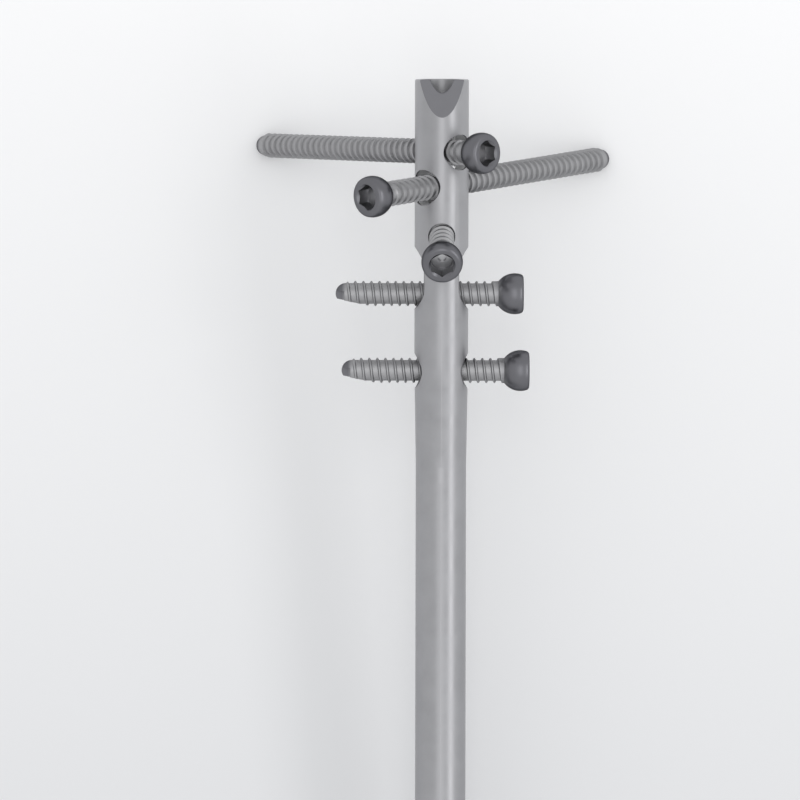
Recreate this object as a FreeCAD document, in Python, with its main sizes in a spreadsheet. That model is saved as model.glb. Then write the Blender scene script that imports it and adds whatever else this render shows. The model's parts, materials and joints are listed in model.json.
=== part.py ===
import FreeCAD, Part
import math
import os
import Sketcher
from FreeCAD import Placement, Rotation, Vector

# An intramedullary nail for the shin bone, with the five screws that lock its upper end.
# It lies on its back as it comes to rest: on the tips of the two oblique screws and on the nail's far end.
# +Y runs along the nail towards its mouth, +Z is up and is the side that faces forwards in the leg.

# Sizes in millimetres and degrees. A depth is measured along the nail's axis, down from its mouth.
# A lift is how far a screw leans out of square to the nail, with its head nearer the nail's far end.
SIZES = [
    ("nail_length", 330.0, "along the axis, from the mouth to the rim of the far end"),
    ("head_diameter", 10.65, "of the thicker upper part"),
    ("cone_depth", 56.0, "where the head begins to taper"),
    ("bend_depth", 78.2, "where the head's axis meets the shaft's axis"),
    ("bend_angle", 5.0, "between the two axes"),
    ("bend_radius", 40.0, "of the axis round the bend"),
    ("shaft_diameter", 10.0, "of the straight shaft"),
    ("bore_diameter", 5.4, "for a guide wire, all the way through"),
    ("mouth_bore_diameter", 7.6, "for the bolt of the insertion handle"),
    ("mouth_bore_depth", 10.0, "before it narrows to the bore"),
    ("rim_break", 0.2, "chamfer round the outside of the mouth"),
    ("bevel_reach", 3.0, "from the axis to the bevel, at the mouth"),
    ("bevel_angle", 17.4, "between the bevel and the axis"),
    ("oblique_hole_diameter", 7.0, "of both oblique holes"),
    ("oblique_turn", 45.0, "of the oblique holes, round the axis from straight ahead"),
    ("upper_oblique_depth", 14.25, "where the hole crosses the axis"),
    ("lower_oblique_depth", 20.75, "where the hole crosses the axis"),
    ("lower_oblique_lift", 5.0, "of the lower oblique hole and its screw"),
    ("anterior_hole_diameter", 5.3, "a close fit round its screw"),
    ("anterior_depth", 28.8, "where the hole crosses the axis"),
    ("anterior_lift", 23.6, "of the anterior hole and its screw"),
    ("slot_width", 8.1, "across the nail"),
    ("slot_length", 12.5, "end to end, along the nail"),
    ("slot_depth", 39.2, "of the middle of the slot"),
    ("static_hole_diameter", 7.2, "of the round transverse hole"),
    ("static_depth", 57.6, "where the hole crosses the axis"),
    ("distal_hole_diameter", 5.3, "of the three holes near the far end"),
    ("distal_hole_setback", 12.0, "from the far end to the nearest hole"),
    ("distal_hole_spacing", 11.0, "from each of those holes to the next"),
    ("screw_diameter", 4.95, "over the crests of the thread"),
    ("core_diameter", 4.1, "of the rounded tip, under the thread"),
    ("thread_runout", 0.5, "from the rounded tip to the first full crest"),
    ("ball_diameter", 8.12, "of the round head"),
    ("face_setback", 1.77, "from the middle of the ball to the flat face"),
    ("face_diameter", 6.4, "of the flat face"),
    ("face_edge_depth", 0.5, "of the chamfer round the face"),
    ("hex_size", 4.35, "across the flats of the socket"),
    ("hex_depth", 2.7, "of the six flats"),
    ("socket_mouth_diameter", 5.25, "of the cone that leads into the hexagon"),
    ("pilot_depth", 3.4, "of the round floor under the hexagon"),
    ("dimple_diameter", 1.65, "in the middle of the floor"),
    ("dimple_depth", 0.65, "below the floor"),
    ("flute_angle", 12.4, "between the flat of the cutting flute and the screw's axis"),
    ("flute_reach", 0.93, "from the screw's axis to that flat, at the tip"),
    ("notch_length", 1.7, "of the cutting edge behind the tip"),
    ("notch_height", 0.5, "from the screw's axis to the notch's face"),
    ("notch_overlap", 0.6, "of the notch, past the screw's axis"),
    ("upper_oblique_length", 65.0, "overall length of the screw"),
    ("lower_oblique_length", 69.0, "overall length of the screw"),
    ("anterior_length", 45.0, "overall length of the screw"),
    ("slot_screw_length", 37.2, "overall length of the screw"),
    ("static_screw_length", 37.2, "overall length of the screw"),
    ("upper_oblique_reach", 11.6, "from the nail's axis to the middle of the ball"),
    ("lower_oblique_reach", 20.0, "from the nail's axis to the middle of the ball"),
    ("anterior_reach", 15.9, "from the nail's axis to the middle of the ball"),
    ("slot_screw_reach", 14.5, "from the nail's axis to the middle of the ball"),
    ("static_screw_reach", 15.7, "from the nail's axis to the middle of the ball"),
    ("seat_gap", 0.3, "between a screw and the side of the wide hole that it leans on"),
    ("slot_seat_turn", 42.0, "how far round the slot's end the sliding screw leans"),
    ("cut_margin", 1.0, "how far a cutting outline stands outside the metal"),
]

# What a sketch calls its own axes and the parts of a line or an arc
H_AXIS = -1
V_AXIS = -2
START = 1
END = 2
CENTRE = 3
NOTHING = 1e-9

doc = FreeCAD.newDocument("IntramedullaryNail")
sheet = doc.addObject("Spreadsheet::Sheet", "sizes")
for row, (alias, number, note) in enumerate(SIZES, start=1):
    sheet.set(f"A{row}", alias)
    sheet.set(f"B{row}", str(number))
    sheet.setAlias(f"B{row}", alias)
    sheet.set(f"C{row}", note)
doc.recompute()


def size(alias):
    """The present value of one cell of the sheet."""
    return float(sheet.get(alias))


# Sketches and features

def add_sketch(body, name, role, right="0", up="0", out="0", rotation=None):
    """A sketch on one of the body's own planes, moved along its own three directions and turned."""
    sketch = body.newObject("Sketcher::SketchObject", f"{body.Name}_{name}")
    plane = [feature for feature in body.Origin.OriginFeatures if feature.Role == role][0]
    sketch.AttachmentSupport = [(plane, "")]
    sketch.MapMode = "FlatFace"
    sketch.AttachmentOffset = Placement(Vector(0, 0, 0), rotation or Rotation())
    sketch.setExpression("AttachmentOffset.Base.x", right)
    sketch.setExpression("AttachmentOffset.Base.y", up)
    sketch.setExpression("AttachmentOffset.Base.z", out)
    return sketch


def bind(sketch, kind, geometry, text):
    """One dimension of a sketch, bound to an expression. geometry lists what it measures."""
    number = float(sketch.evalExpression(text))
    index = sketch.addConstraint(Sketcher.Constraint(kind, *geometry, number))
    sketch.setExpression(f"Constraints[{index}]", text)


def pin_down(sketch, geometry, place, kind, axis, text):
    """Hold a point at a distance from the sketch's origin, or on its axis where that distance is nothing."""
    number = float(sketch.evalExpression(text))
    if abs(number) < NOTHING:
        sketch.addConstraint(Sketcher.Constraint("PointOnObject", geometry, place, axis))
    elif number > 0:
        bind(sketch, kind, (H_AXIS, START, geometry, place), text)
    else:
        bind(sketch, kind, (geometry, place, H_AXIS, START), f"-({text})")


def arc_centre(first, last, height):
    """How far to the right the centre of an arc lies, from its two ends and the height of its centre."""
    squares = last.x ** 2 - first.x ** 2 + (height - last.y) ** 2 - (height - first.y) ** 2
    return squares / (2 * (last.x - first.x))


def draw_outline(sketch, corners, arcs=None):
    """A closed outline, drawn anticlockwise through corners given as pairs of expressions.
    arcs names the sides that are arcs, each with the height of its centre."""
    arcs = arcs or {}
    points = [Vector(*[float(sketch.evalExpression(text)) for text in corner], 0) for corner in corners]
    for index, point in enumerate(points):
        following = points[(index + 1) % len(points)]
        if index in arcs:
            height = float(sketch.evalExpression(arcs[index]))
            centre = Vector(arc_centre(point, following, height), height, 0)
            first = math.atan2(point.y - centre.y, point.x - centre.x)
            last = math.atan2(following.y - centre.y, following.x - centre.x)
            if last <= first:
                last += 2 * math.pi
            circle = Part.Circle(centre, Vector(0, 0, 1), point.distanceToPoint(centre))
            sketch.addGeometry(Part.ArcOfCircle(circle, first, last))
        else:
            sketch.addGeometry(Part.LineSegment(point, following))
    for index, (across, along) in enumerate(corners):
        following = (index + 1) % len(corners)
        sketch.addConstraint(Sketcher.Constraint("Coincident", index, END, following, START))
        pin_down(sketch, index, START, "DistanceX", V_AXIS, across)
        pin_down(sketch, index, START, "DistanceY", H_AXIS, along)
        if index in arcs:
            pin_down(sketch, index, CENTRE, "DistanceY", H_AXIS, arcs[index])


def draw_circle(sketch, diameter, height="0"):
    """A circle with its centre on the sketch's vertical axis."""
    radius = float(sketch.evalExpression(f"{diameter} / 2"))
    centre = Vector(0, float(sketch.evalExpression(height)), 0)
    index = sketch.addGeometry(Part.Circle(centre, Vector(0, 0, 1), radius))
    bind(sketch, "Radius", (index,), f"{diameter} / 2")
    pin_down(sketch, index, CENTRE, "DistanceY", H_AXIS, height)
    sketch.addConstraint(Sketcher.Constraint("PointOnObject", index, CENTRE, V_AXIS))


def revolve(body, name, sketch, axis="V_Axis", angle="360", backwards=False, kind="Revolution"):
    """Turn a sketch about one of its axes, to add metal or, as a groove, to take it away."""
    feature = body.newObject(f"PartDesign::{kind}", f"{body.Name}_{name}")
    feature.Profile = sketch
    feature.ReferenceAxis = (sketch, [axis])
    feature.Reversed = backwards
    feature.setExpression("Angle", angle)
    return feature


def cut_through(body, name, sketch, sides="Symmetric"):
    """Cut a sketch's outline right through the body."""
    feature = body.newObject("PartDesign::Pocket", f"{body.Name}_{name}")
    feature.Profile = sketch
    feature.Type = "ThroughAll"
    feature.SideType = sides


# Nail: in its own frame the middle of the mouth is at the origin, +Z runs down the head and +Y is forwards

HALF_SHAFT = "sizes.shaft_diameter / 2"
HALF_BORE = "sizes.bore_diameter / 2"
BEND_RUN = "sizes.bend_radius * tan(sizes.bend_angle / 2)"
SHAFT_RUN = "(sizes.nail_length - sizes.bend_depth)"
# The far end is a dome as wide as the shaft, cut short where the bore leaves it
DOME_CENTRE = f"({SHAFT_RUN} - sqrt(({HALF_SHAFT}) ^ 2 - ({HALF_BORE}) ^ 2))"


def add_shaft_sketch(body, name, role, along="0"):
    """A sketch that stands on the shaft's axis, some way along it from where it meets the head's axis."""
    forwards = f"({along}) * sin(sizes.bend_angle)"
    down = f"sizes.bend_depth + ({along}) * cos(sizes.bend_angle)"
    if role == "YZ_Plane":
        return add_sketch(body, name, role, forwards, down, "0", Rotation(Vector(0, 0, -1), size("bend_angle")))
    lean = Rotation(Vector(-1, 0, 0), size("bend_angle"))
    return add_sketch(body, name, role, "0", down, f"-({forwards})", lean)


def add_cross_hole(body, name, depth, diameter, turn=0, lift=0):
    """A round hole right through the head, turned about the head's axis and leaning by its lift."""
    rotation = Rotation(Vector(0, 1, 0), -turn) * Rotation(Vector(1, 0, 0), lift)
    sketch = add_sketch(body, f"{name}_circle", "XZ_Plane", "0", depth, "0", rotation)
    draw_circle(sketch, diameter)
    cut_through(body, name, sketch)


def make_nail():
    """The nail: turned, bent and drilled along its length, bevelled at its mouth and cross drilled."""
    body = doc.addObject("PartDesign::Body", "nail_body")

    profile = add_sketch(body, "head_profile", "YZ_Plane")
    head_outline = [
        ("sizes.mouth_bore_diameter / 2", "0"),
        ("sizes.head_diameter / 2 - sizes.rim_break", "0"),
        ("sizes.head_diameter / 2", "sizes.rim_break"),
        ("sizes.head_diameter / 2", "sizes.cone_depth"),
        (HALF_SHAFT, f"sizes.bend_depth - {BEND_RUN}"),
        (HALF_BORE, f"sizes.bend_depth - {BEND_RUN}"),
        (HALF_BORE, "sizes.mouth_bore_depth + (sizes.mouth_bore_diameter - sizes.bore_diameter) / 2"),
        ("sizes.mouth_bore_diameter / 2", "sizes.mouth_bore_depth"),
    ]
    draw_outline(profile, head_outline)
    revolve(body, "head", profile)

    section = add_sketch(
        body, "bend_section", "XY_Plane", "0", "sizes.bend_radius", f"sizes.bend_depth - {BEND_RUN}"
    )
    draw_circle(section, "sizes.shaft_diameter", "-sizes.bend_radius")
    draw_circle(section, "sizes.bore_diameter", "-sizes.bend_radius")
    revolve(body, "bend", section, "H_Axis", "sizes.bend_angle", backwards=True)

    profile = add_shaft_sketch(body, "shaft_profile", "YZ_Plane")
    shaft_outline = [
        (HALF_BORE, BEND_RUN),
        (HALF_SHAFT, BEND_RUN),
        (HALF_SHAFT, DOME_CENTRE),
        (HALF_BORE, SHAFT_RUN),
    ]
    draw_outline(profile, shaft_outline, arcs={2: DOME_CENTRE})
    revolve(body, "shaft", profile)

    # The bevel faces forwards and runs out through the front of the head
    margin = "sizes.cut_margin"
    outside = f"sizes.head_diameter / 2 + {margin}"
    bevel = add_sketch(body, "bevel_outline", "YZ_Plane")
    bevel_outline = [
        (f"sizes.bevel_reach - {margin} * tan(sizes.bevel_angle)", f"-{margin}"),
        (outside, f"-{margin}"),
        (outside, f"({outside} - sizes.bevel_reach) / tan(sizes.bevel_angle)"),
    ]
    draw_outline(bevel, bevel_outline)
    cut_through(body, "bevel", bevel)

    oblique = "sizes.oblique_hole_diameter"
    turn = size("oblique_turn")
    lift = size("lower_oblique_lift")
    add_cross_hole(body, "upper_oblique_hole", "sizes.upper_oblique_depth", oblique, turn)
    add_cross_hole(body, "lower_oblique_hole", "sizes.lower_oblique_depth", oblique, -turn, lift)
    anterior = "sizes.anterior_hole_diameter"
    add_cross_hole(body, "anterior_hole", "sizes.anterior_depth", anterior, lift=size("anterior_lift"))

    slot = add_sketch(body, "slot_outline", "YZ_Plane", "0", "sizes.slot_depth")
    side = "sizes.slot_width / 2"
    end = "(sizes.slot_length - sizes.slot_width) / 2"
    slot_outline = [(side, f"-{end}"), (side, end), (f"-{side}", end), (f"-{side}", f"-{end}")]
    draw_outline(slot, slot_outline, arcs={1: end, 3: f"-{end}"})
    cut_through(body, "slot", slot)

    circle = add_sketch(body, "static_hole_circle", "YZ_Plane", "0", "sizes.static_depth")
    draw_circle(circle, "sizes.static_hole_diameter")
    cut_through(body, "static_hole", circle)

    # Near the far end two holes go from side to side, and the one between them from front to back
    for number, role in enumerate(["YZ_Plane", "XZ_Plane", "YZ_Plane"]):
        along = f"{SHAFT_RUN} - sizes.distal_hole_setback - {number} * sizes.distal_hole_spacing"
        circle = add_shaft_sketch(body, f"distal_circle_{number + 1}", role, along)
        draw_circle(circle, "sizes.distal_hole_diameter")
        cut_through(body, f"distal_hole_{number + 1}", circle)
    return body


# Screws: in its own frame the middle of a screw's face is at the origin, and +Z points to its tip

def make_screw(name, length, flute_turn=0):
    """A locking screw with a ball head, a hexagon socket and one cutting flute, turned about its axis."""
    body = doc.addObject("PartDesign::Body", name)
    length = f"sizes.{length}"
    half_screw = "sizes.screw_diameter / 2"
    half_core = "sizes.core_diameter / 2"
    half_ball = "sizes.ball_diameter / 2"
    edge = "sizes.face_edge_depth"
    tip_centre = f"({length} - {half_core})"

    profile = add_sketch(body, "profile", "XZ_Plane")
    turned_outline = [
        ("0", "0"),
        ("sizes.face_diameter / 2", "0"),
        (f"sqrt(({half_ball}) ^ 2 - (sizes.face_setback - {edge}) ^ 2)", edge),
        (half_screw, f"sizes.face_setback + sqrt(({half_ball}) ^ 2 - ({half_screw}) ^ 2)"),
        (half_screw, f"{tip_centre} - sizes.thread_runout"),
        (half_core, tip_centre),
        ("0", length),
    ]
    draw_outline(profile, turned_outline, arcs={2: "sizes.face_setback", 5: tip_centre})
    revolve(body, "turned", profile)

    # Round recesses in the face: the cone at the mouth, the floor under the hexagon and the dimple in it
    recess = add_sketch(body, "recess_profile", "XZ_Plane")
    half_hex = "sizes.hex_size / 2"
    half_mouth = "sizes.socket_mouth_diameter / 2"
    half_dimple = "sizes.dimple_diameter / 2"
    floor = "sizes.pilot_depth"
    recess_outline = [
        ("0", "0"),
        (half_mouth, "0"),
        (half_hex, f"{half_mouth} - {half_hex}"),
        (half_hex, floor),
        (half_dimple, floor),
        (half_dimple, f"{floor} + sizes.dimple_depth"),
        ("0", f"{floor} + sizes.dimple_depth"),
    ]
    draw_outline(recess, recess_outline)
    revolve(body, "recess", recess, kind="Groove")

    hexagon = add_sketch(body, "hexagon", "XY_Plane")
    corner = "sizes.hex_size / sqrt(3)"
    corners = [(f"{corner} * cos({60 * step})", f"{corner} * sin({60 * step})") for step in range(6)]
    draw_outline(hexagon, corners)
    socket = body.newObject("PartDesign::Pocket", f"{name}_socket")
    socket.Profile = hexagon
    socket.Reversed = True
    socket.setExpression("Length", "sizes.hex_depth")

    # The flute's flat runs out of the thread some way behind the tip
    about_axis = Rotation(Vector(0, 1, 0), flute_turn)
    margin = "sizes.cut_margin"
    outside = f"({half_screw} + {margin})"
    flute = add_sketch(body, "flute_outline", "XZ_Plane", rotation=about_axis)
    flute_outline = [
        (f"sizes.flute_reach - {margin} * tan(sizes.flute_angle)", f"{length} + {margin}"),
        (outside, f"{length} - ({outside} - sizes.flute_reach) / tan(sizes.flute_angle)"),
        (outside, f"{length} + {margin}"),
    ]
    draw_outline(flute, flute_outline)
    cut_through(body, "flute", flute)

    # The notch behind the flat makes the cutting edge, and stops at a face beside the screw's axis
    right = f"-sizes.notch_height * sin({flute_turn})"
    out = f"-sizes.notch_height * cos({flute_turn})"
    notch = add_sketch(body, "notch_outline", "XZ_Plane", right, "0", out, about_axis)
    notch_outline = [
        ("-sizes.notch_overlap", f"{length} - sizes.notch_length"),
        (outside, f"{length} - sizes.notch_length"),
        (outside, f"{length} + {margin}"),
        ("-sizes.notch_overlap", f"{length} + {margin}"),
    ]
    draw_outline(notch, notch_outline)
    cut_through(body, "notch", notch, sides="One side")
    return body


# Places: each screw is aimed in the nail's frame, and then the whole is laid down

def slack(hole):
    """How far off the middle of a wide hole a screw stands when it leans on the hole's side."""
    return (size(hole) - size("screw_diameter")) / 2 - size("seat_gap")


def aim(body, depth, turn, lift, ahead, reach):
    """Put a screw through the head. turn says where its own head is, round the nail from straight ahead to
    the right, and ahead how far its axis passes in front of the nail's axis."""
    turn = math.radians(turn)
    lift = math.radians(lift)
    to_head = Vector(math.sin(turn) * math.cos(lift), math.cos(turn) * math.cos(lift), math.sin(lift))
    aside = Vector(-math.cos(turn), math.sin(turn), 0)
    if aside.y < 0:
        aside = -aside
    face = Vector(0, 0, depth) + aside * ahead + to_head * (reach + size("face_setback"))
    body.Placement = Placement(face, Rotation(Vector(0, 0, 1), Vector(0, 0, 0), -to_head, "ZXY"))


def tip_middle(body, length):
    """The middle of the dome at a screw's tip, in the nail's frame."""
    return body.Placement.multVec(Vector(0, 0, size(length) - size("core_diameter") / 2))


def lay_down(first_tip, second_tip):
    """The turn that lays the nail on a floor under two screws' tips and the dome at its own far end."""
    bend = math.radians(size("bend_angle"))
    shaft = Vector(0, math.sin(bend), math.cos(bend))
    dome = Vector(0, 0, size("bend_depth")) + shaft * float(sheet.evalExpression(DOME_CENTRE))
    extra = (size("shaft_diameter") - size("core_diameter")) / 2
    across = (first_tip - second_tip).normalize()
    along = first_tip - dome
    along = along - across * along.dot(across)
    lean = extra / along.Length
    along.normalize()
    square = along.cross(across)
    if square.y > 0:
        square = -square
    down = along * lean + square * math.sqrt(1 - lean ** 2)
    up = -down
    right = (-shaft).cross(up).normalize()
    forwards = up.cross(right)
    return Rotation(right, forwards, up, "ZYX").inverted()


nail = make_nail()
upper_oblique = make_screw("upper_oblique_screw", "upper_oblique_length", flute_turn=90)
lower_oblique = make_screw("lower_oblique_screw", "lower_oblique_length", flute_turn=-90)
anterior = make_screw("anterior_screw", "anterior_length")
sliding = make_screw("dynamic_slot_screw", "slot_screw_length")
static = make_screw("static_hole_screw", "static_screw_length")

# The oblique screws lean on the front of their holes, and the transverse ones on the back of theirs
oblique_turn = size("oblique_turn")
oblique_slack = slack("oblique_hole_diameter")
aim(upper_oblique, size("upper_oblique_depth"), oblique_turn, 0, oblique_slack, size("upper_oblique_reach"))
lift = size("lower_oblique_lift")
aim(lower_oblique, size("lower_oblique_depth"), -oblique_turn, lift, oblique_slack, size("lower_oblique_reach"))
aim(anterior, size("anterior_depth"), 0, size("anterior_lift"), 0, size("anterior_reach"))
aim(static, size("static_depth"), 90, 0, -slack("static_hole_diameter"), size("static_screw_reach"))

# The sliding screw leans on the round far end of its slot, a little behind the middle
slot_turn = math.radians(size("slot_seat_turn"))
end_depth = size("slot_depth") + (size("slot_length") - size("slot_width")) / 2
sliding_depth = end_depth + slack("slot_width") * math.cos(slot_turn)
aim(sliding, sliding_depth, 90, 0, -slack("slot_width") * math.sin(slot_turn), size("slot_screw_reach"))

pieces = [nail, upper_oblique, lower_oblique, anterior, sliding, static]
first_tip = tip_middle(upper_oblique, "upper_oblique_length")
second_tip = tip_middle(lower_oblique, "lower_oblique_length")
turned_down = Placement(Vector(0, 0, 0), lay_down(first_tip, second_tip))
for piece in pieces:
    piece.Placement = turned_down * piece.Placement
doc.recompute()

# The origin is on the floor, under the middle of the whole
box = Part.makeCompound([piece.Shape for piece in pieces]).optimalBoundingBox(False)
to_origin = Placement(Vector(-box.Center.x, -box.Center.y, -box.ZMin), Rotation())
for piece in pieces:
    piece.Placement = to_origin * piece.Placement
doc.recompute()

for item in doc.Objects:
    if "Invalid" in item.State or "Error" in item.State:
        raise RuntimeError(f"{item.Label} failed: {item.State}")
for piece in pieces:
    if piece.Shape.isNull() or not piece.Shape.isValid() or len(piece.Shape.Solids) != 1:
        raise RuntimeError(f"{piece.Label} isn't one valid solid")

os.makedirs("parts", exist_ok=True)
for piece in pieces:
    piece.Shape.exportStep(f"parts/{piece.Label}.step")
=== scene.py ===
import json
import math

import bmesh
import bpy
from bpy.props import FloatProperty, FloatVectorProperty, IntProperty, PointerProperty
from mathutils import Matrix, Vector
from mathutils.geometry import intersect_line_line


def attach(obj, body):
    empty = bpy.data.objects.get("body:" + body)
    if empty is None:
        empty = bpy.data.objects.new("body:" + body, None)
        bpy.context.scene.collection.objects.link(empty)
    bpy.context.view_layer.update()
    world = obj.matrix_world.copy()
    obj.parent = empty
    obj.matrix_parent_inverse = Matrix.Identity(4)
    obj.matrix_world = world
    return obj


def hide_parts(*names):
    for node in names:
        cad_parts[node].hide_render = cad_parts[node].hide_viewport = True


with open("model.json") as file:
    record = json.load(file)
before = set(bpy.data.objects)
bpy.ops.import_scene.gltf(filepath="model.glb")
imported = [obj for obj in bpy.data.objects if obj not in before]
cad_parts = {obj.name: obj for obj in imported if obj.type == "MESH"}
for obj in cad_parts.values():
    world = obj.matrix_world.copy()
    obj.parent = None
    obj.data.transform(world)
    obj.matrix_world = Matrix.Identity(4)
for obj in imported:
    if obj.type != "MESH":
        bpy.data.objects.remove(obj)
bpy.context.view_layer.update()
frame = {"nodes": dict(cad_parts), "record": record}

bl_info = {
    "name": "Intramedullary nail",
    "version": (1, 0, 0),
    "blender": (4, 5, 0),
    "location": "3D View > Sidebar > Nail",
    "description": "Dresses a tibial nail and its locking screws, and sets a plain stage for them",
    "category": "Object",
}

# Each screw's node, the mount at its socket, and how far its cutting flute is turned about the screw's
# axis, in degrees
SCREWS = {
    "upper_oblique_screw": ("upper_oblique_socket", -90),
    "lower_oblique_screw": ("lower_oblique_socket", 90),
    "anterior_screw": ("anterior_socket", 0),
    "dynamic_slot_screw": ("slot_screw_socket", 0),
    "static_hole_screw": ("static_hole_socket", 0),
}

# From the middle of a thread's crest to the end of its flat, and to the foot of its flank, in pitches
CREST_HALF = 0.07
FLANK_END = 0.195

# Points of a screw that lie closer than this are one, and edges shorter than the second go
SAME_POINT = 2e-6
NO_EDGE = 1e-7

# How far a cutter or a mask goes past what it has to take in
CUTTER_MARGIN = 0.001
MASK_MARGIN = 0.0001

# The angle, in degrees, from which the shading breaks at an edge of a screw
SHARP_EDGE = 32

# The fine grain of the metal, and the clouds of wear on it: what part of the clouds counts, and how far
# they move the roughness and the shade
GRAIN_SCALE = 5200.0
GRAIN_STRENGTH = 0.12
GRAIN_DEPTH = 0.00002
WEAR_SCALE = 210.0
WEAR_SPAN = (0.3, 0.7)
WEAR_ROUGHNESS = (-0.05, 0.06)
WEAR_SHADE = (0.94, 1.05)

# How squarely the nail faces the bevel's way where the painted shade on its bevel begins, and where it
# is full
BEVEL_FACING = (0.992, 0.998)

# How a socket faces along its screw: its flats more than the first, its floors less than the second
FLATS_FACING = -0.5
FLOORS_FACING = -0.9

# The camera's sensor, in millimetres, and the nearest thing that it sees
SENSOR_WIDTH = 36
CLIP_START = 0.05

FLOOR_ROUGHNESS = 0.9
FLOOR_SPECULAR = 0.1
SKY_COLOUR = (0.985, 0.99, 1.0)


class ScrewSizes(bpy.types.PropertyGroup):
    """Sizes that the five locking screws share. Depths run from the flat face towards the tip."""

    columns: IntProperty(
        name="Columns", description="Points round the screw, a multiple of twelve", default=72, min=24
    )
    thread_diameter: FloatProperty(
        name="Thread", description="Diameter over the crests", default=0.00495, unit="LENGTH"
    )
    core_diameter: FloatProperty(
        name="Core", description="Diameter at the bottom of the thread", default=0.0041, unit="LENGTH"
    )
    pitch: FloatProperty(
        name="Pitch", description="From one crest to the next", default=0.0016, unit="LENGTH"
    )
    first_crest: FloatProperty(
        name="First crest", description="Depth of a crest where the turns begin",
        default=0.00529, unit="LENGTH",
    )
    groove_start: FloatProperty(
        name="Start of the groove", description="Depth where the groove runs in",
        default=0.0055, unit="LENGTH",
    )
    groove_ramp: FloatProperty(
        name="Run-in", description="How far the groove takes to get deep", default=0.0005, unit="LENGTH"
    )
    crest_runout: FloatProperty(
        name="Crests at the tip", description="Length over which they come up",
        default=0.0005, unit="LENGTH",
    )
    ball_diameter: FloatProperty(
        name="Ball", description="Diameter of the round head", default=0.00812, unit="LENGTH"
    )
    face_setback: FloatProperty(
        name="Setback", description="From the ball's middle to the face", default=0.00177, unit="LENGTH"
    )
    rim_radius: FloatProperty(
        name="Rim", description="Rounding round the face", default=0.0008, unit="LENGTH"
    )
    hex_size: FloatProperty(
        name="Hexagon", description="Across the flats of the socket", default=0.00435, unit="LENGTH"
    )
    hex_depth: FloatProperty(
        name="Hexagon's depth", description="Depth of the six flats", default=0.0027, unit="LENGTH"
    )
    mouth_diameter: FloatProperty(
        name="Socket's mouth", description="Of the cone that leads in", default=0.00525, unit="LENGTH"
    )
    floor_depth: FloatProperty(
        name="Socket's floor", description="Depth of the round floor", default=0.0034, unit="LENGTH"
    )
    dimple_diameter: FloatProperty(
        name="Dimple", description="In the middle of the floor", default=0.00165, unit="LENGTH"
    )
    dimple_depth: FloatProperty(
        name="Dimple's depth", description="Below the floor", default=0.00065, unit="LENGTH"
    )
    flute_angle: FloatProperty(
        name="Flute", description="Between its flat and the axis",
        default=math.radians(12.4), subtype="ANGLE",
    )
    flute_reach: FloatProperty(
        name="Flute's reach", description="From the axis to the flat, at the tip",
        default=0.00093, unit="LENGTH",
    )
    notch_length: FloatProperty(
        name="Notch", description="Length of the cutting edge", default=0.0017, unit="LENGTH"
    )
    notch_height: FloatProperty(
        name="Notch's height", description="From the axis to its face", default=0.0005, unit="LENGTH"
    )
    notch_overlap: FloatProperty(
        name="Notch's overlap", description="How far it goes past the axis",
        default=0.0006, unit="LENGTH",
    )


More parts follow.
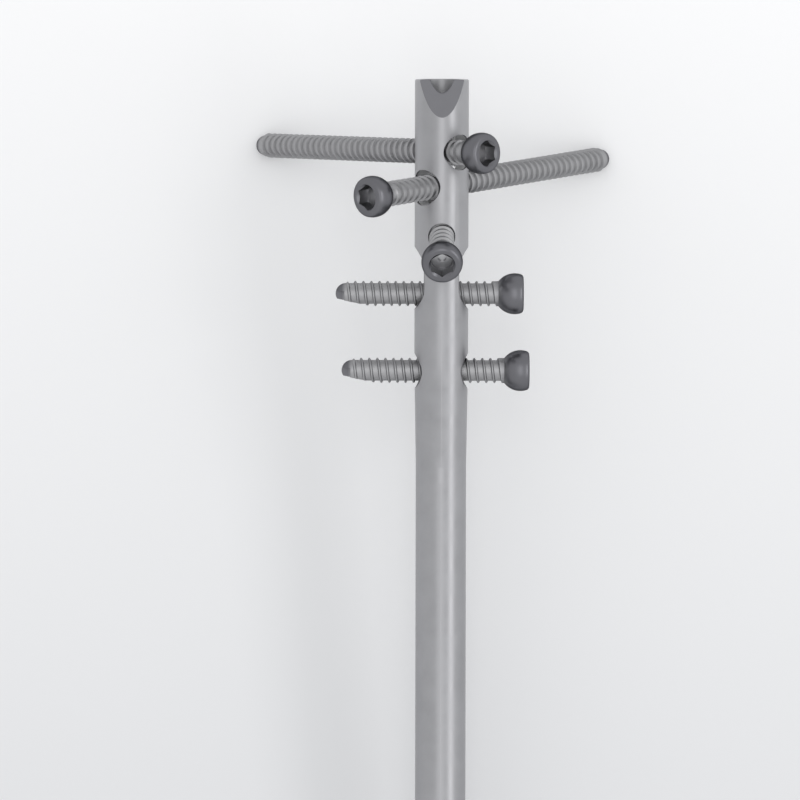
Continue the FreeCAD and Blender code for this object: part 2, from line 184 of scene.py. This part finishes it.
class Finish(bpy.types.PropertyGroup):
    """The metal of the nail and of its screws."""

    nail_tone: FloatVectorProperty(
        name="Nail", description="Colour of the nail", subtype="COLOR",
        default=(0.385, 0.385, 0.397), min=0, max=1,
    )
    # Painted shade on the bevel's flat face, darker than the rest of the nail
    bevel_painted_shade: FloatVectorProperty(
        name="Bevel", description="Colour of its bevel", subtype="COLOR",
        default=(0.205, 0.205, 0.218), min=0, max=1,
    )
    shaft_tone: FloatVectorProperty(
        name="Screws", description="Colour of their shafts", subtype="COLOR",
        default=(0.42, 0.42, 0.428), min=0, max=1,
    )
    head_tone: FloatVectorProperty(
        name="Heads", description="Colour of their heads", subtype="COLOR",
        default=(0.175, 0.175, 0.188), min=0, max=1,
    )
    edge_tint: FloatVectorProperty(
        name="Edge tint", description="Of a screw's metal where it is seen edge on",
        subtype="COLOR", default=(0.3, 0.3, 0.3), min=0, max=1,
    )
    # Painted light on the flats and the floors of the sockets, paler than the heads, against the shade
    # in them
    socket_flats_painted_light: FloatVectorProperty(
        name="Sockets", description="Colour of their flats", subtype="COLOR",
        default=(0.37, 0.37, 0.38), min=0, max=1,
    )
    socket_floor_painted_light: FloatVectorProperty(
        name="Socket floors", description="Their colour", subtype="COLOR",
        default=(0.37, 0.37, 0.38), min=0, max=1,
    )
    # Painted light in the dimples, paler still than the socket floors, against the shade in them
    dimple_painted_light: FloatVectorProperty(
        name="Dimples", description="Colour of the dimples", subtype="COLOR",
        default=(0.6, 0.6, 0.61), min=0, max=1,
    )
    # Painted light in the nail's holes, paler than the nail, against the shade inside them
    hole_painted_light: FloatVectorProperty(
        name="Holes", description="Colour of the nail's holes", subtype="COLOR",
        default=(0.92, 0.92, 0.925), min=0, max=1,
    )
    nail_roughness: FloatProperty(
        name="Nail's roughness", description="Of its satin metal", subtype="FACTOR",
        default=0.4, min=0, max=1,
    )
    hole_roughness: FloatProperty(
        name="Holes' roughness", description="Of the metal in them", subtype="FACTOR",
        default=0.6, min=0, max=1,
    )
    head_roughness: FloatProperty(
        name="Heads' roughness", description="Of their metal", subtype="FACTOR",
        default=0.33, min=0, max=1,
    )
    shaft_roughness: FloatProperty(
        name="Shafts' roughness", description="Of their metal", subtype="FACTOR",
        default=0.5, min=0, max=1,
    )
    edge_break: FloatProperty(
        name="Broken edges", description="Width of the nail's broken edges",
        default=0.00015, unit="LENGTH",
    )
    hole_reach: FloatProperty(
        name="Holes' reach", description="From the nail's axis to their ends",
        default=0.00488, unit="LENGTH",
    )
    first_hole: FloatProperty(
        name="First hole", description="Depth at which the head's holes begin",
        default=0.0104, unit="LENGTH",
    )
    last_hole: FloatProperty(
        name="Last hole", description="Depth at which the head's holes end",
        default=0.066, unit="LENGTH",
    )
    bevel_length: FloatProperty(
        name="Bevel's length", description="From the mouth down the nail", default=0.0085, unit="LENGTH"
    )
    bevel_angle: FloatProperty(
        name="Bevel's angle", description="From the nail's axis",
        default=math.radians(17.4), subtype="ANGLE",
    )
    tone_blend: FloatProperty(
        name="Blend", description="Length over which a screw's tone changes",
        default=0.0008, unit="LENGTH",
    )


class Stage(bpy.types.PropertyGroup):
    """The camera, the floor and the light."""

    distance: FloatProperty(
        name="Distance", description="From the bend to the camera", default=0.95, unit="LENGTH"
    )
    aside: FloatProperty(
        name="Aside", description="The camera's place right of the bend",
        default=-0.00814, unit="LENGTH",
    )
    above: FloatProperty(
        name="Above", description="The camera's place above the bend", default=0.0147, unit="LENGTH"
    )
    roll: FloatProperty(
        name="Roll", description="Turn of the camera about its view", default=0.0021, subtype="ANGLE"
    )
    focal_length: FloatProperty(
        name="Focal length", description="In millimetres, on a 36 mm sensor", default=215.46
    )
    floor_near: FloatVectorProperty(
        name="Floor below", description="Its colour below the view", subtype="COLOR",
        default=(0.775, 0.78, 0.79), min=0, max=1,
    )
    floor_far: FloatVectorProperty(
        name="Floor above", description="Its colour above the view", subtype="COLOR",
        default=(0.968, 0.97, 0.973), min=0, max=1,
    )
    view_height: FloatProperty(
        name="View", description="Length of floor that the view takes in", default=0.164, unit="LENGTH"
    )
    sky: FloatProperty(name="Sky", description="Strength of the light all round", default=0.85, min=0)
    front_strip: FloatProperty(
        name="Front strip", description="Radiance of the lamp in front", default=1.05, min=0
    )
    front_width: FloatProperty(
        name="Front width", description="Of that lamp", default=0.42, unit="LENGTH"
    )
    side_strip: FloatProperty(
        name="Side strip", description="Radiance of the lamp aside", default=2.5, min=0
    )
    side_width: FloatProperty(
        name="Side width", description="Of that lamp", default=0.28, unit="LENGTH"
    )
    side_angle: FloatProperty(
        name="Side angle", description="Of that lamp from the view",
        default=math.radians(48), subtype="ANGLE",
    )
    lamp_height: FloatProperty(
        name="Lamp height", description="Of both lamps", default=1.2, unit="LENGTH"
    )
    lamp_distance: FloatProperty(
        name="Lamp distance", description="To the nail", default=1.3, unit="LENGTH"
    )
    lamp_aim: FloatProperty(
        name="Lamp aim", description="From the bend up to where they point", default=0.04, unit="LENGTH"
    )
    floor_reach: FloatProperty(
        name="Floor", description="From its middle to its edges", default=4.0, unit="LENGTH"
    )


# Places, read from the record's mounts

def mount(name):
    """The place and the direction of one mount of the record."""
    found = [m for m in frame["record"]["mounts"] if m["name"] == name][0]
    return Vector(found["pos_m"]), Vector(found["axis"]).normalized()


def screw_place(node, socket):
    """A screw's own frame, with X nearly down the nail and Z to its tip, and its length."""
    face, to_driver = mount(socket)
    to_tip = -to_driver
    down = -mount("mouth_bore")[1]
    side = (down - to_tip * down.dot(to_tip)).normalized()
    turn = Matrix((side, to_tip.cross(side), to_tip)).transposed()
    length = max((v.co - face).dot(to_tip) for v in frame["nodes"][node].data.vertices)
    return Matrix.Translation(face) @ turn.to_4x4(), length


# Shapes

def thread_radius(sizes, phase, crest, depth, length):
    """The radius on a thread's flank. phase runs from one groove to the next, in pitches, with the crest
    at 0."""
    fall = min(max((abs(phase) - CREST_HALF) / (FLANK_END - CREST_HALF), 0), 1)
    groove = crest + math.copysign(0.5, phase) * sizes.pitch
    share = min(max((groove - sizes.groove_start) / sizes.groove_ramp, 0), 1)
    full = sizes.thread_diameter / 2
    core = sizes.core_diameter / 2
    radius = full - (full - core) * fall * share * share * (3 - 2 * share)
    tip = length - core
    past = (depth - tip + sizes.crest_runout) / sizes.crest_runout
    over = full - (full - core) * min(max(past, 0), 1)
    return max(core, min(radius, over))


def lathe_rings(sizes):
    """Rings of a screw's socket, face, rim and ball, from the dimple out to the neck, and the depth at
    which the neck begins. Each ring is a function of the angle, and gives a radius and a depth."""
    half_hex = sizes.hex_size / 2
    mouth = sizes.mouth_diameter / 2
    dimple = sizes.dimple_diameter / 2
    bottom = sizes.floor_depth + sizes.dimple_depth
    ball = sizes.ball_diameter / 2
    neck = sizes.thread_diameter / 2

    def hexagon(angle):
        return half_hex / math.cos((angle % (math.pi / 3)) - math.pi / 6)

    rings = [
        lambda angle: (dimple, bottom),
        lambda angle: (dimple, sizes.floor_depth),
        lambda angle: (half_hex, sizes.floor_depth),
        lambda angle: (half_hex, sizes.hex_depth),
        lambda angle: (hexagon(angle), sizes.hex_depth),
        lambda angle: (hexagon(angle), mouth - hexagon(angle)),
        lambda angle: (mouth, 0.0),
    ]
    rim = sizes.rim_radius
    rise = math.asin((sizes.face_setback - rim) / (ball - rim))
    rim_centre = (ball - rim) * math.cos(rise)
    rim_steps = 6
    for step in range(rim_steps + 1):
        lean = -math.pi / 2 + (math.pi / 2 - rise) * step / rim_steps
        spot = (rim_centre + rim * math.cos(lean), rim + rim * math.sin(lean))
        rings.append(lambda angle, spot=spot: spot)
    end = math.acos(neck / ball)
    ball_steps = 18
    for step in range(1, ball_steps + 1):
        lean = -rise + (end + rise) * step / ball_steps
        spot = (ball * math.cos(lean), sizes.face_setback + ball * math.sin(lean))
        rings.append(lambda angle, spot=spot: spot)
    return rings, sizes.face_setback + ball * math.sin(end)


def screw_mesh(name, sizes, length):
    """A locking screw's turned form with its socket and its thread, before its tip is cut."""
    columns = sizes.columns
    core = sizes.core_diameter / 2
    rings, neck_end = lathe_rings(sizes)
    tip = length - core
    spots = []
    faces = []

    def add_row(row):
        first = len(spots)
        for column, (radius, depth) in enumerate(row):
            angle = 2 * math.pi * column / columns
            spots.append((radius * math.cos(angle), radius * math.sin(angle), depth))
        return first

    def join(lower, upper):
        for column in range(columns):
            after = (column + 1) % columns
            faces.append((lower + column, upper + column, upper + after, lower + after))

    angles = [2 * math.pi * column / columns for column in range(columns)]
    rows = [add_row([ring(angle) for angle in angles]) for ring in rings]
    spots.append((0, 0, sizes.floor_depth + sizes.dimple_depth))
    pole = len(spots) - 1
    for column in range(columns):
        faces.append((pole, rows[0] + column, rows[0] + (column + 1) % columns))
    for lower, upper in zip(rows, rows[1:]):
        join(lower, upper)

    # The thread's rows climb with its turns, so the last column meets the first one a whole pitch later
    rising = [(0.5 + FLANK_END) / 2, FLANK_END, (FLANK_END + CREST_HALF) / 2, CREST_HALF]
    phases = [-0.5, *[-phase for phase in rising], 0.0, *reversed(rising)]
    first_turn = math.floor((neck_end - sizes.first_crest) / sizes.pitch) - 2
    last_turn = math.ceil((tip - sizes.first_crest) / sizes.pitch) + 2
    threads = []
    for turn in range(first_turn, last_turn):
        for phase in phases:
            row = []
            for column in range(columns):
                crest = sizes.first_crest + sizes.pitch * (turn + column / columns)
                depth = min(max(crest + phase * sizes.pitch, neck_end), tip)
                row.append((thread_radius(sizes, phase, crest, depth, length), depth))
            threads.append(add_row(row))
    for lower, upper in zip(threads, threads[1:]):
        for column in range(columns - 1):
            faces.append((lower + column, upper + column, upper + column + 1, lower + column + 1))
    last = columns - 1
    turn_rows = len(phases)
    for index in range(len(threads) - turn_rows - 1):
        lower, upper = threads[index], threads[index + 1]
        lower_after, upper_after = threads[index + turn_rows], threads[index + turn_rows + 1]
        faces.append((lower + last, upper + last, upper_after, lower_after))

    domes = []
    dome_steps = 9
    for step in range(dome_steps):
        lean = math.pi / 2 * step / dome_steps
        domes.append(add_row([(core * math.cos(lean), tip + core * math.sin(lean))] * columns))
    for lower, upper in zip(domes, domes[1:]):
        join(lower, upper)
    spots.append((0, 0, length))
    pole = len(spots) - 1
    for column in range(columns):
        faces.append((domes[-1] + column, pole, domes[-1] + (column + 1) % columns))

    mesh = bpy.data.meshes.new(name)
    mesh.from_pydata(spots, [], faces)
    work = bmesh.new()
    work.from_mesh(mesh)
    bmesh.ops.remove_doubles(work, verts=work.verts, dist=SAME_POINT)
    bmesh.ops.dissolve_degenerate(work, edges=work.edges, dist=NO_EDGE)
    bmesh.ops.recalc_face_normals(work, faces=work.faces)
    work.to_mesh(mesh)
    work.free()
    return mesh


def prism(name, outline, low, high, turn):
    """A cutter: an outline in X and Z, from one Y to another, turned about Z."""
    mesh = bpy.data.meshes.new(name)
    count = len(outline)
    spots = [(x, low, z) for x, z in outline] + [(x, high, z) for x, z in outline]
    faces = [tuple(range(count)), tuple(range(2 * count - 1, count - 1, -1))]
    for index in range(count):
        after = (index + 1) % count
        faces.append((index, index + count, after + count, after))
    mesh.from_pydata(spots, [], faces)
    mesh.transform(Matrix.Rotation(turn, 4, "Z"))
    work = bmesh.new()
    work.from_mesh(mesh)
    bmesh.ops.recalc_face_normals(work, faces=work.faces)
    work.to_mesh(mesh)
    work.free()
    cutter = bpy.data.objects.new(name, mesh)
    bpy.context.collection.objects.link(cutter)
    return cutter


def cut_tip(screw, sizes, length, turn):
    """Cut the flute and its notch into a screw's tip."""
    outside = sizes.thread_diameter / 2 + CUTTER_MARGIN
    slope = math.tan(sizes.flute_angle)
    flute = [
        (sizes.flute_reach - CUTTER_MARGIN * slope, length + CUTTER_MARGIN),
        (outside, length - (outside - sizes.flute_reach) / slope),
        (outside, length + CUTTER_MARGIN),
    ]
    back = length - sizes.notch_length
    notch = [
        (-sizes.notch_overlap, back),
        (outside, back),
        (outside, length + CUTTER_MARGIN),
        (-sizes.notch_overlap, length + CUTTER_MARGIN),
    ]
    cutters = [
        prism(f"{screw.name}_flute_cutter", flute, -outside, outside, turn),
        prism(f"{screw.name}_notch_cutter", notch, sizes.notch_height, outside, turn),
    ]
    for cutter in cutters:
        cut = screw.modifiers.new(cutter.name, "BOOLEAN")
        cut.operation = "DIFFERENCE"
        cut.solver = "EXACT"
        cut.object = cutter
    bpy.context.view_layer.update()
    depsgraph = bpy.context.evaluated_depsgraph_get()
    finished = bpy.data.meshes.new_from_object(screw.evaluated_get(depsgraph))
    screw.modifiers.clear()
    rough_cut = screw.data
    screw.data = finished
    bpy.data.meshes.remove(rough_cut)
    for cutter in cutters:
        spare = cutter.data
        bpy.data.objects.remove(cutter)
        bpy.data.meshes.remove(spare)


# Finishes

def add_node(tree, kind, **settings):
    """A shader node, with its plain settings and the values of its inputs."""
    node = tree.nodes.new(kind)
    for name, value in settings.items():
        if name.startswith("in_"):
            key = name[3:]
            node.inputs[int(key) if key.isdigit() else key].default_value = value
        else:
            setattr(node, name, value)
    return node


def satin_metal(name, roughness, edge_break):
    """Satin titanium alloy with a fine grain. Returns the material, its tree, the node that gives the
    object's own coordinates, and the mix that shades the colour a little from place to place."""
    material = bpy.data.materials.new(name)
    material.use_nodes = True
    tree = material.node_tree
    shader = tree.nodes["Principled BSDF"]
    shader.inputs["Metallic"].default_value = 1.0
    place = add_node(tree, "ShaderNodeTexCoord")

    grain = add_node(tree, "ShaderNodeTexNoise", in_Scale=GRAIN_SCALE, in_Detail=3.0, in_Roughness=0.6)
    tree.links.new(place.outputs["Object"], grain.inputs["Vector"])
    bump = add_node(tree, "ShaderNodeBump", in_Strength=GRAIN_STRENGTH, in_Distance=GRAIN_DEPTH)
    tree.links.new(grain.outputs["Fac"], bump.inputs["Height"])
    tree.links.new(bump.outputs["Normal"], shader.inputs["Normal"])
    if edge_break:
        edges = add_node(tree, "ShaderNodeBevel", in_Radius=edge_break, samples=6)
        tree.links.new(edges.outputs["Normal"], bump.inputs["Normal"])

    wear = add_node(tree, "ShaderNodeTexNoise", in_Scale=WEAR_SCALE, in_Detail=4.0, in_Roughness=0.55)
    tree.links.new(place.outputs["Object"], wear.inputs["Vector"])
    low, high = WEAR_SPAN
    smooth, dull = [roughness + change for change in WEAR_ROUGHNESS]
    worn = add_node(tree, "ShaderNodeMapRange", in_1=low, in_2=high, in_3=smooth, in_4=dull)
    tree.links.new(wear.outputs["Fac"], worn.inputs["Value"])
    tree.links.new(worn.outputs["Result"], shader.inputs["Roughness"])

    shade = add_node(tree, "ShaderNodeMix", data_type="RGBA", blend_type="MULTIPLY", in_0=1.0)
    dark, pale = WEAR_SHADE
    cloud = add_node(tree, "ShaderNodeMapRange", in_1=low, in_2=high, in_3=dark, in_4=pale)
    tree.links.new(wear.outputs["Fac"], cloud.inputs["Value"])
    tree.links.new(cloud.outputs["Result"], shade.inputs[7])
    tree.links.new(shade.outputs[2], shader.inputs["Base Color"])
    return material, tree, place, shade


def blend_tones(tree, share, low, high, target):
    """Feed a mix's first colour with one that goes from low to high as a share goes from 0 to 1."""
    tones = add_node(tree, "ShaderNodeMix", data_type="RGBA")
    tones.inputs[6].default_value = (*low, 1.0)
    tones.inputs[7].default_value = (*high, 1.0)
    tree.links.new(share, tones.inputs[0])
    tree.links.new(tones.outputs[2], target.inputs[6])


def mask(tree, value, operation, limit):
    """A share of 1 where a value is over or under a limit, and 0 elsewhere."""
    test = add_node(tree, "ShaderNodeMath", operation=operation, in_1=limit)
    tree.links.new(value, test.inputs[0])
    return test.outputs[0]


def both(tree, first, second):
    """The product of two shares."""
    product = add_node(tree, "ShaderNodeMath", operation="MULTIPLY")
    tree.links.new(first, product.inputs[0])
    tree.links.new(second, product.inputs[1])
    return product.outputs[0]


def lay_tone(tree, share, tone, target):
    """Lay another colour over a mix's first colour where a share says so."""
    laid = add_node(tree, "ShaderNodeMix", data_type="RGBA")
    laid.inputs[7].default_value = (*tone, 1.0)
    tree.links.new(share, laid.inputs[0])
    tree.links.new(target.inputs[6].links[0].from_socket, laid.inputs[6])
    tree.links.new(laid.outputs[2], target.inputs[6])


def roughen(tree, share, amount):
    """Add to the roughness where a share says so."""
    roughness = tree.nodes["Principled BSDF"].inputs["Roughness"]
    rougher = add_node(tree, "ShaderNodeMath", operation="MULTIPLY_ADD", in_1=amount)
    tree.links.new(share, rougher.inputs[0])
    tree.links.new(roughness.links[0].from_socket, rougher.inputs[2])
    tree.links.new(rougher.outputs[0], roughness)


def nail_metal(finish):
    """The nail's metal, with painted light in its holes, found by their place, and painted shade on its
    bevel, found by the way it faces.
    """
    material, tree, place, shade = satin_metal("nail_titanium", finish.nail_roughness, finish.edge_break)
    spot, mouth = mount("mouth_bore")
    front = mount("far_front_hole")[1]
    side = mouth.cross(front).normalized()
    front = side.cross(mouth)

    from_mouth = add_node(tree, "ShaderNodeVectorMath", operation="SUBTRACT", in_1=spot)
    tree.links.new(place.outputs["Object"], from_mouth.inputs[0])
    depth = add_node(tree, "ShaderNodeVectorMath", operation="DOT_PRODUCT", in_1=mouth)
    tree.links.new(from_mouth.outputs[0], depth.inputs[0])
    off_axis = add_node(tree, "ShaderNodeVectorMath", operation="CROSS_PRODUCT", in_1=mouth)
    tree.links.new(from_mouth.outputs[0], off_axis.inputs[0])
    distance = add_node(tree, "ShaderNodeVectorMath", operation="LENGTH")
    tree.links.new(off_axis.outputs[0], distance.inputs[0])
    inside = mask(tree, distance.outputs["Value"], "LESS_THAN", finish.hole_reach)
    for operation, limit in [("LESS_THAN", -finish.first_hole), ("GREATER_THAN", -finish.last_hole)]:
        inside = both(tree, inside, mask(tree, depth.outputs["Value"], operation, limit))
    # Painted light: the walls of the holes are made paler, against the shade that falls in them
    blend_tones(tree, inside, finish.nail_tone, finish.hole_painted_light, shade)
    roughen(tree, inside, finish.hole_roughness - finish.nail_roughness)

    # Painted shade: the bevel's flat face, found by the way it faces near the mouth, is made darker
    bevel = front * math.cos(finish.bevel_angle) + mouth * math.sin(finish.bevel_angle)
    facing = add_node(tree, "ShaderNodeVectorMath", operation="DOT_PRODUCT", in_1=bevel)
    tree.links.new(place.outputs["Normal"], facing.inputs[0])
    begin, full = BEVEL_FACING
    flat = add_node(tree, "ShaderNodeMapRange", in_1=begin, in_2=full, in_3=0.0, in_4=1.0)
    tree.links.new(facing.outputs["Value"], flat.inputs["Value"])
    near = mask(tree, depth.outputs["Value"], "GREATER_THAN", -finish.bevel_length)
    lay_tone(tree, both(tree, flat.outputs["Result"], near), finish.bevel_painted_shade, shade)
    return material


def screw_metal(name, finish, sizes, length):
    """A screw's metal, darker on its head and its tip, with painted light on the flats, the floor and
    the dimple of its socket, against the shade in it.
    """
    material, tree, place, shade = satin_metal(name, finish.head_roughness, 0.0)
    tree.nodes["Principled BSDF"].inputs["Specular Tint"].default_value = (*finish.edge_tint, 1.0)
    neck_end = lathe_rings(sizes)[1]
    split = add_node(tree, "ShaderNodeSeparateXYZ")
    tree.links.new(place.outputs["Object"], split.inputs[0])
    depth = split.outputs["Z"]
    blend = finish.tone_blend
    along = add_node(
        tree, "ShaderNodeMapRange", in_1=neck_end - blend, in_2=neck_end + blend, in_3=0.0, in_4=1.0
    )
    tree.links.new(depth, along.inputs["Value"])
    blend_tones(tree, along.outputs["Result"], finish.head_tone, finish.shaft_tone, shade)
    roughen(tree, along.outputs["Result"], finish.shaft_roughness - finish.head_roughness)

    tip = length - sizes.core_diameter / 2
    end = add_node(tree, "ShaderNodeMapRange", in_1=tip, in_2=tip + blend, in_3=0.0, in_4=1.0)
    tree.links.new(depth, end.inputs["Value"])
    lay_tone(tree, end.outputs["Result"], finish.head_tone, shade)

    flat = add_node(tree, "ShaderNodeVectorMath", operation="MULTIPLY", in_1=(1.0, 1.0, 0.0))
    tree.links.new(place.outputs["Object"], flat.inputs[0])
    distance = add_node(tree, "ShaderNodeVectorMath", operation="LENGTH")
    tree.links.new(flat.outputs[0], distance.inputs[0])
    inside = both(
        tree,
        mask(tree, distance.outputs["Value"], "LESS_THAN", sizes.mouth_diameter / 2),
        mask(tree, depth, "LESS_THAN", sizes.floor_depth + sizes.dimple_depth + MASK_MARGIN),
    )
    facing = add_node(tree, "ShaderNodeSeparateXYZ")
    tree.links.new(place.outputs["Normal"], facing.inputs[0])
    # Painted light in the socket: its flats and its floor are made paler than the head, against the
    # shade there
    flats = both(tree, inside, mask(tree, facing.outputs["Z"], "GREATER_THAN", FLATS_FACING))
    lay_tone(tree, flats, finish.socket_flats_painted_light, shade)
    floors = both(tree, inside, mask(tree, facing.outputs["Z"], "LESS_THAN", FLOORS_FACING))
    lay_tone(tree, floors, finish.socket_floor_painted_light, shade)
    # Painted light: the dimple in the socket's floor is made paler still, against the shade in it
    middle = mask(tree, distance.outputs["Value"], "LESS_THAN", sizes.dimple_diameter / 2)
    lay_tone(tree, both(tree, inside, middle), finish.dimple_painted_light, shade)
    return material


# Operators

class NAIL_OT_dress_nail(bpy.types.Operator):
    """Give the nail its satin metal and break its edges"""

    bl_idname = "nail.dress_nail"
    bl_label = "Dress the nail"

    def execute(self, context):
        finish = context.scene.nail_finish
        nail = frame["nodes"]["nail_body"]
        metal = nail_metal(finish)
        for slot in nail.material_slots:
            slot.material = metal
        return {"FINISHED"}


class NAIL_OT_make_screws(bpy.types.Operator):
    """Make the five locking screws, each with its socket, its thread and its cut tip"""

    bl_idname = "nail.make_screws"
    bl_label = "Make the screws"

    def execute(self, context):
        sizes = context.scene.nail_screws
        finish = context.scene.nail_finish
        for node, (socket, turn) in SCREWS.items():
            place, length = screw_place(node, socket)
            screw = bpy.data.objects.new(f"{node}_threaded", screw_mesh(node, sizes, length))
            context.collection.objects.link(screw)
            cut_tip(screw, sizes, length, math.radians(turn))
            screw.data.materials.clear()
            screw.data.materials.append(screw_metal(f"{node}_titanium", finish, sizes, length))
            screw.data.shade_smooth()
            screw.data.set_sharp_from_angle(angle=math.radians(SHARP_EDGE))
            screw.matrix_world = place
            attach(screw, "slot_screw" if node == "dynamic_slot_screw" else "nail")
            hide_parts(node)
        return {"FINISHED"}


class NAIL_OT_set_stage(bpy.types.Operator):
    """Set the camera in front of the nail's head, and a pale floor and soft strips of light round it"""

    bl_idname = "nail.set_stage"
    bl_label = "Set the stage"

    def execute(self, context):
        stage = context.scene.nail_stage
        scene = context.scene
        end, shaft = mount("far_end_bore")
        mouth, head = mount("mouth_bore")
        bend = sum(intersect_line_line(end, end + shaft, mouth, mouth + head), Vector()) / 2
        view = mount("far_front_hole")[1]
        up = -shaft
        right = up.cross(view).normalized()
        up = view.cross(right)

        camera = bpy.data.objects.new("camera", bpy.data.cameras.new("camera"))
        camera.data.lens = stage.focal_length
        camera.data.sensor_width = SENSOR_WIDTH
        camera.data.clip_start = CLIP_START
        across = right * math.cos(stage.roll) + up * math.sin(stage.roll)
        upright = up * math.cos(stage.roll) - right * math.sin(stage.roll)
        turn = Matrix((across, upright, view)).transposed().to_4x4()
        eye = bend + right * stage.aside + up * stage.above + view * stage.distance
        camera.matrix_world = Matrix.Translation(eye) @ turn
        context.collection.objects.link(camera)
        scene.camera = camera

        middle = eye - view * (eye.z / view.z)
        floor_mesh = bpy.data.meshes.new("floor")
        work = bmesh.new()
        bmesh.ops.create_grid(work, x_segments=1, y_segments=1, size=stage.floor_reach)
        work.to_mesh(floor_mesh)
        work.free()
        floor = bpy.data.objects.new("floor", floor_mesh)
        floor.location = middle
        context.collection.objects.link(floor)
        paint = bpy.data.materials.new("floor_paint")
        paint.use_nodes = True
        tree = paint.node_tree
        shader = tree.nodes["Principled BSDF"]
        shader.inputs["Roughness"].default_value = FLOOR_ROUGHNESS
        shader.inputs["Specular IOR Level"].default_value = FLOOR_SPECULAR
        place = add_node(tree, "ShaderNodeTexCoord")
        split = add_node(tree, "ShaderNodeSeparateXYZ")
        tree.links.new(place.outputs["Object"], split.inputs[0])
        half = stage.view_height / 2
        along = add_node(tree, "ShaderNodeMapRange", in_1=-half, in_2=half, in_3=0.0, in_4=1.0)
        tree.links.new(split.outputs["Y"], along.inputs["Value"])
        tones = add_node(tree, "ShaderNodeMix", data_type="RGBA")
        tones.inputs[6].default_value = (*stage.floor_near, 1.0)
        tones.inputs[7].default_value = (*stage.floor_far, 1.0)
        tree.links.new(along.outputs["Result"], tones.inputs[0])
        tree.links.new(tones.outputs[2], shader.inputs["Base Color"])
        floor.data.materials.append(paint)

        world = bpy.data.worlds.new("studio")
        scene.world = world
        world.use_nodes = True
        sky = world.node_tree.nodes["Background"]
        sky.inputs["Color"].default_value = (*SKY_COLOUR, 1.0)
        sky.inputs["Strength"].default_value = stage.sky

        strips = [
            ("front_strip", 0.0, stage.front_strip, stage.front_width),
            ("side_strip", stage.side_angle, stage.side_strip, stage.side_width),
        ]
        target = bend + up * stage.lamp_aim
        for name, angle, radiance, width in strips:
            strip = bpy.data.lights.new(name, "AREA")
            strip.shape = "RECTANGLE"
            strip.size = width
            strip.size_y = stage.lamp_height
            strip.energy = radiance * math.pi * strip.size * strip.size_y
            lamp = bpy.data.objects.new(name, strip)
            away = view * math.cos(angle) + right * math.sin(angle)
            aside = up.cross(away)
            facing = Matrix((aside, up, away)).transposed().to_4x4()
            lamp.matrix_world = Matrix.Translation(target + away * stage.lamp_distance) @ facing
            lamp.visible_camera = False
            context.collection.objects.link(lamp)

        scene.view_settings.view_transform = "Standard"
        return {"FINISHED"}


class NAIL_PT_sidebar(bpy.types.Panel):
    """Lists the operators and their settings"""

    bl_idname = "NAIL_PT_sidebar"
    bl_label = "Nail"
    bl_space_type = "VIEW_3D"
    bl_region_type = "UI"
    bl_category = "Nail"

    def draw(self, context):
        layout = self.layout
        for operator in OPERATORS:
            layout.operator(operator.bl_idname)
        for name in GROUPS:
            group = getattr(context.scene, name)
            box = layout.box()
            for setting in group.bl_rna.properties:
                if setting.identifier not in {"rna_type", "name"}:
                    box.prop(group, setting.identifier)


GROUPS = {"nail_finish": Finish, "nail_screws": ScrewSizes, "nail_stage": Stage}
OPERATORS = [NAIL_OT_dress_nail, NAIL_OT_make_screws, NAIL_OT_set_stage]


def register():
    for item in [*GROUPS.values(), *OPERATORS, NAIL_PT_sidebar]:
        bpy.utils.register_class(item)
    for name, group in GROUPS.items():
        setattr(bpy.types.Scene, name, PointerProperty(type=group))


def unregister():
    for name in GROUPS:
        delattr(bpy.types.Scene, name)
    for item in [NAIL_PT_sidebar, *OPERATORS, *GROUPS.values()]:
        bpy.utils.unregister_class(item)


def main():
    register()
    bpy.ops.nail.dress_nail()
    bpy.ops.nail.make_screws()
    bpy.ops.nail.set_stage()


if __name__ == "__main__":
    main()
